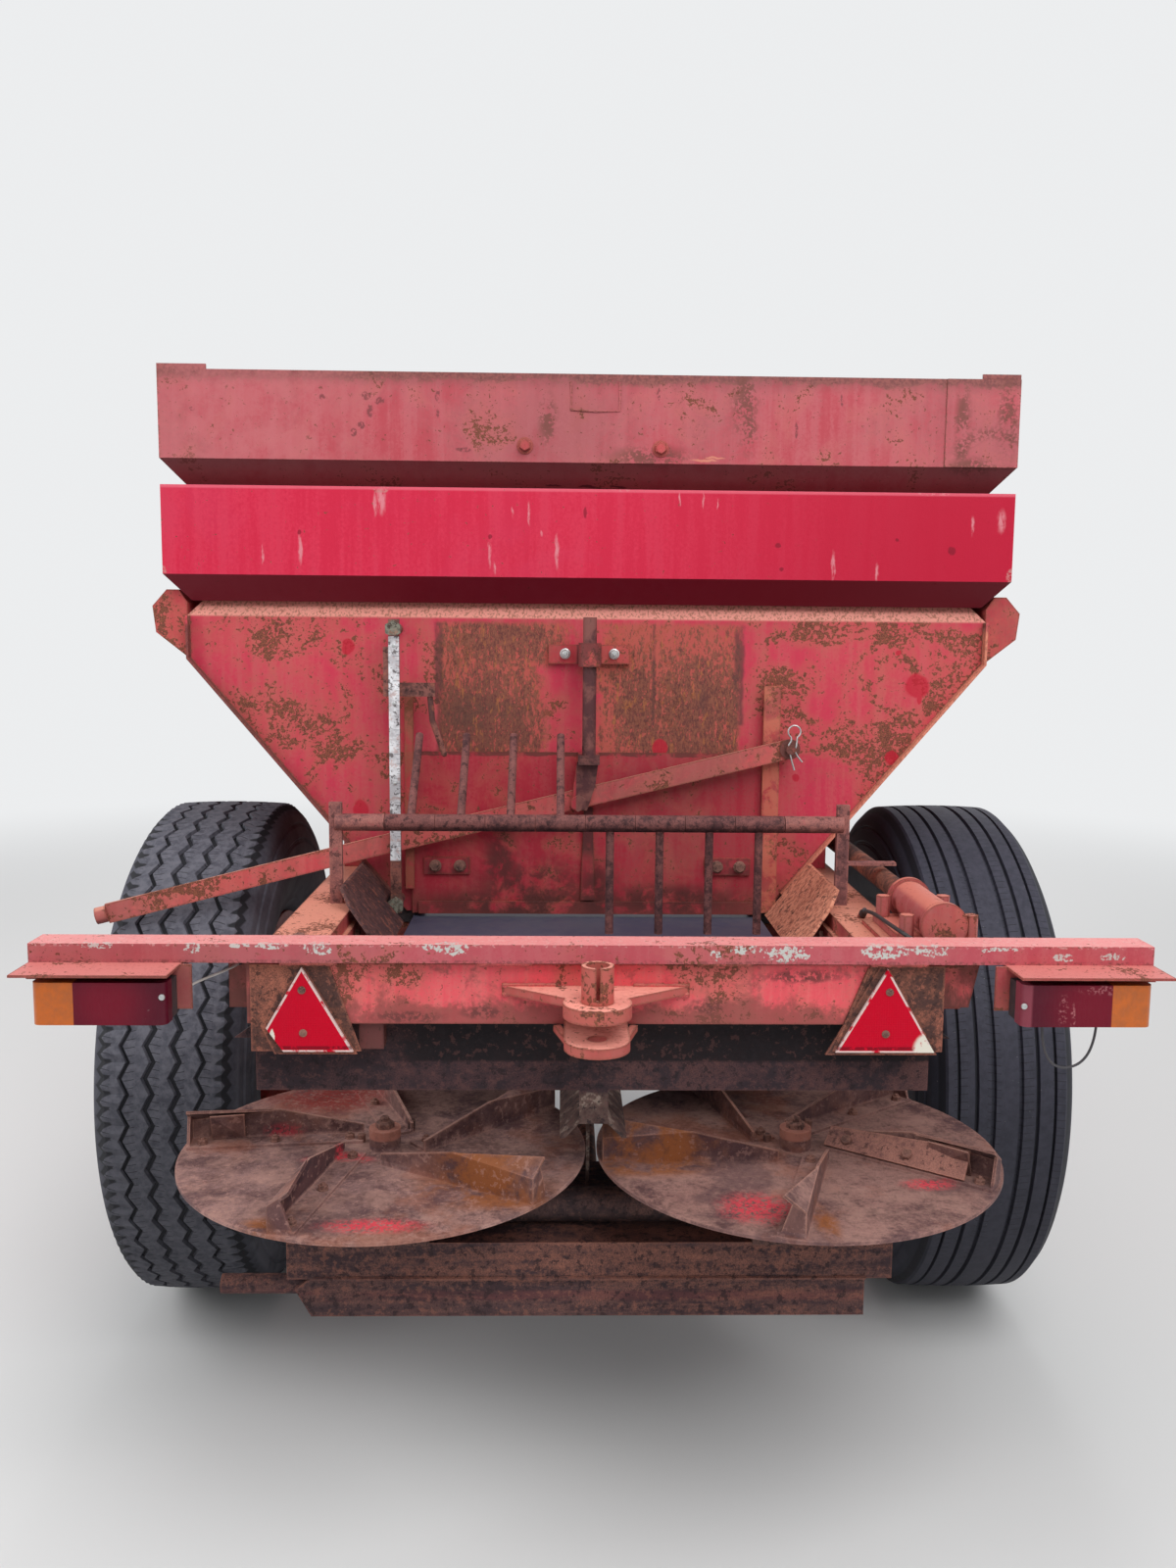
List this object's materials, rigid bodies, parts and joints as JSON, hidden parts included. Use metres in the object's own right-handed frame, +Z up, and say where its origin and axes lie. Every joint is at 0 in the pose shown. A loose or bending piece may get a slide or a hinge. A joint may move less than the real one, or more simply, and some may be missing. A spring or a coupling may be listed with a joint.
{
  "type": "lime spreader",
  "caption": "Trailed lime spreader: V-shaped hopper with extension boards, belt floor, rear slide gate with lever, two spinning discs, and a drawbar on a parking jack.",
  "frame": {"origin": "on the ground, at the middle of the machine's length and width", "axes": "+Y the way it is towed, +X to the right seen from behind, +Z up"},
  "size_m": [2.0132, 4.141, 2.076],
  "materials": {
    "belt": "matte",
    "bright_red": "fresh red paint",
    "cable": "matte",
    "faded_red": "faded red paint",
    "lamp_amber": "gloss",
    "lamp_black": "matte",
    "lamp_red": "gloss",
    "red_paint": "worn red paint",
    "reflector": "reflex",
    "rim": "worn red paint",
    "rust": "rusted steel",
    "tyre": "worn",
    "zinc": "dull"
  },
  "bodies": {
    "chassis": {"axle": "red_paint", "belt": "belt", "belt_cross_tubes": "red_paint", "belt_rollers": "zinc", "chute_plates": "rust", "drawbar_arms": "red_paint", "drawbar_nose": "red_paint", "drive_hangers": "rust", "drive_shaft": "rust", "frame_rails": "red_paint", "front_cross_beam": "red_paint", "gate_guides": "red_paint", "gearboxes": "rust", "guard_fingers": "rust", "guard_rail": "red_paint", "hopper_brackets": "red_paint", "hopper_front": "red_paint", "hopper_rear": "red_paint", "hopper_rims": "red_paint", "hopper_sides": "red_paint", "indicator_lenses": "lamp_amber", "jack_tube": "red_paint", "lamp_hoods": "red_paint", "lamp_housings": "lamp_black", "left_lamp_wire": "cable", "light_bar": "red_paint", "lower_boards_ends": "bright_red", "lower_boards_sides": "bright_red", "rail_cable": "cable", "rear_cross_beam": "red_paint", "rear_deflector": "rust", "rear_hitch": "red_paint", "reflector_plates": "rust", "reflector_triangles": "reflector", "right_lamp_wire": "cable", "roller_plates": "red_paint", "scale_bar": "zinc", "shaft_brackets": "red_paint", "shaft_housing": "red_paint", "side_shaft": "rust", "spinner_beam": "rust", "spinner_hangers": "rust", "tail_lenses": "lamp_red", "upper_boards_ends": "faded_red", "upper_boards_sides": "faded_red"},
    "left_wheel": {"left_tyre": "tyre", "left_rim": "rim"},
    "right_wheel": {"right_tyre": "tyre", "right_rim": "rim"},
    "left_spinner": {"left_disc": "rust"},
    "right_spinner": {"right_disc": "rust"},
    "lever": {"lever": "rust"},
    "gate": {"gate": "red_paint"},
    "jack_leg": {"jack_leg": "rust"}
  },
  "joints": [
    {"name": "left_wheel_spin", "type": "hinge", "parent": "chassis", "child": "left_wheel", "pos_m": [-0.846, -0.8875, 0.57], "axis": [1, 0, 0], "continuous": true},
    {"name": "right_wheel_spin", "type": "hinge", "parent": "chassis", "child": "right_wheel", "pos_m": [0.846, -0.8875, 0.57], "axis": [1, 0, 0], "continuous": true},
    {"name": "left_disc_spin", "type": "hinge", "parent": "chassis", "child": "left_spinner", "pos_m": [-0.367, -1.7135, 0.631], "axis": [0, 0, 1], "continuous": true},
    {"name": "right_disc_spin", "type": "hinge", "parent": "chassis", "child": "right_spinner", "pos_m": [0.367, -1.7135, 0.631], "axis": [0, 0, 1], "continuous": true},
    {"name": "lever_lift", "type": "hinge", "parent": "chassis", "child": "lever", "pos_m": [0.419, -1.2595, 1.3135], "axis": [0, 1, 0], "range_deg": [0, 19]},
    {"name": "gate_lift", "type": "slide", "parent": "chassis", "child": "gate", "axis": [0, 0, 1], "range_m": [0, 0.1489]},
    {"name": "jack_slide", "type": "slide", "parent": "chassis", "child": "jack_leg", "axis": [0, 0, 1], "range_m": [0, 0.3]}
  ],
  "couplings": [
    {"joint": "right_disc_spin", "follows": "left_disc_spin", "ratio": -1},
    {"joint": "gate_lift", "follows": "lever_lift", "m_per_rad": 0.4475}
  ]
}
